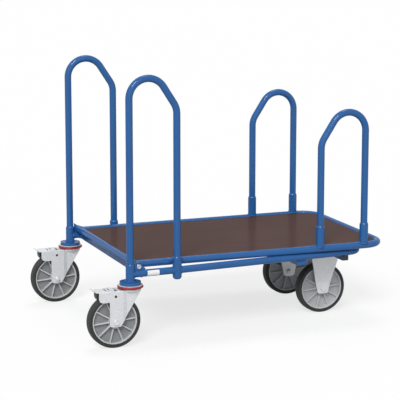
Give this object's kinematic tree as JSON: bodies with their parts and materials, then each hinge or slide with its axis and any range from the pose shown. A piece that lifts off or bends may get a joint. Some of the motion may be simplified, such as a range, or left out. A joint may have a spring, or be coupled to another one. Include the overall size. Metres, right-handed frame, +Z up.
{
  "type": "platform cart",
  "caption": "Steel-tube platform cart with a tilting board deck, hoop bows along the sides, braked swivel castors at the rear and fixed castors at the front.",
  "frame": {"origin": "on the floor, under the middle of the cart's box", "axes": "+X forward, from the bows over the swivel castors to the front tube; +Y left; +Z up"},
  "size_m": [1.2394, 0.852, 1],
  "materials": {
    "paint": "gloss powder coat, blue",
    "zinc": "bright zinc plate",
    "steel": "ground",
    "board": "brown phenolic film, fine mesh",
    "rubber": "dark grey solid rubber",
    "rim": "grey moulded nylon",
    "red_plastic": "satin",
    "black_plastic": "satin"
  },
  "bodies": {
    "chassis": {"lower_rail": "paint", "rear_cross_tube": "paint", "hinge_bolts": "zinc", "castor_beam_front": "paint", "castor_beam_rear": "paint", "beam_end_caps": "black_plastic", "fixed_castor_bolts": "zinc", "kingpins": "zinc", "rail_stub_left": "paint", "castor_post_left": "paint", "post_flange_left": "paint", "hinge_plate_left": "paint", "rear_bow_socket_left": "paint", "rear_bow_left": "paint", "castor_mount_plate_left": "paint", "fixed_fork_left": "zinc", "fixed_axle_left": "zinc", "swivel_head_left": "zinc", "rail_stub_right": "paint", "castor_post_right": "paint", "post_flange_right": "paint", "hinge_plate_right": "paint", "rear_bow_socket_right": "paint", "rear_bow_right": "paint", "castor_mount_plate_right": "paint", "fixed_fork_right": "zinc", "fixed_axle_right": "zinc", "swivel_head_right": "zinc"},
    "platform": {"platform_frame": "paint", "platform_hinge_tube": "paint", "platform_cross_bars": "paint", "deck_board": "board", "deck_screws": "zinc", "hinge_bushes": "black_plastic", "front_bow_sockets_left": "paint", "front_bow_sockets_right": "paint"},
    "front_bow_left": {"front_bow_left": "paint"},
    "swivel_castor_left": {"swivel_fork_left": "zinc", "dust_ring_left": "red_plastic", "swivel_axle_left": "zinc"},
    "brake_left": {"brake_pedal_left": "zinc", "brake_shoe_left": "black_plastic"},
    "wheel_rear_left": {"tyre_rear_left": "rubber", "rim_rear_left": "rim", "bearing_rear_left": "steel"},
    "wheel_front_left": {"tyre_front_left": "rubber", "rim_front_left": "rim", "bearing_front_left": "steel"},
    "front_bow_right": {"front_bow_right": "paint"},
    "swivel_castor_right": {"swivel_fork_right": "zinc", "dust_ring_right": "red_plastic", "swivel_axle_right": "zinc"},
    "brake_right": {"brake_pedal_right": "zinc", "brake_shoe_right": "black_plastic"},
    "wheel_rear_right": {"tyre_rear_right": "rubber", "rim_rear_right": "rim", "bearing_rear_right": "steel"},
    "wheel_front_right": {"tyre_front_right": "rubber", "rim_front_right": "rim", "bearing_front_right": "steel"}
  },
  "joints": [
    {"name": "platform_tilt", "type": "hinge", "parent": "chassis", "child": "platform", "pos_m": [-0.42173, 0, 0.29575], "axis": [0, -1, 0], "range_deg": [0, 75]},
    {"name": "front_bow_left_lift", "type": "slide", "parent": "platform", "child": "front_bow_left", "axis": [0, 0, 1], "range_m": [0, 0.08]},
    {"name": "castor_left_swivel", "type": "hinge", "parent": "chassis", "child": "swivel_castor_left", "pos_m": [-0.45372, 0.3775, 0], "axis": [0, 0, 1], "continuous": true},
    {"name": "wheel_rear_left_spin", "type": "hinge", "parent": "swivel_castor_left", "child": "wheel_rear_left", "pos_m": [-0.51972, 0.3775, 0.1], "axis": [0, 1, 0], "continuous": true},
    {"name": "wheel_front_left_spin", "type": "hinge", "parent": "chassis", "child": "wheel_front_left", "pos_m": [0.41328, 0.164, 0.1], "axis": [0, 1, 0], "continuous": true},
    {"name": "brake_left_press", "type": "hinge", "parent": "swivel_castor_left", "child": "brake_left", "pos_m": [-0.51972, 0.3775, 0.197], "axis": [0, -1, 0], "range_deg": [0, 12]},
    {"name": "front_bow_right_lift", "type": "slide", "parent": "platform", "child": "front_bow_right", "axis": [0, 0, 1], "range_m": [0, 0.08]},
    {"name": "castor_right_swivel", "type": "hinge", "parent": "chassis", "child": "swivel_castor_right", "pos_m": [-0.45372, -0.3775, 0], "axis": [0, 0, 1], "continuous": true},
    {"name": "wheel_rear_right_spin", "type": "hinge", "parent": "swivel_castor_right", "child": "wheel_rear_right", "pos_m": [-0.51972, -0.3775, 0.1], "axis": [0, 1, 0], "continuous": true},
    {"name": "wheel_front_right_spin", "type": "hinge", "parent": "chassis", "child": "wheel_front_right", "pos_m": [0.41328, -0.164, 0.1], "axis": [0, 1, 0], "continuous": true},
    {"name": "brake_right_press", "type": "hinge", "parent": "swivel_castor_right", "child": "brake_right", "pos_m": [-0.51972, -0.3775, 0.197], "axis": [0, -1, 0], "range_deg": [0, 12]}
  ]
}
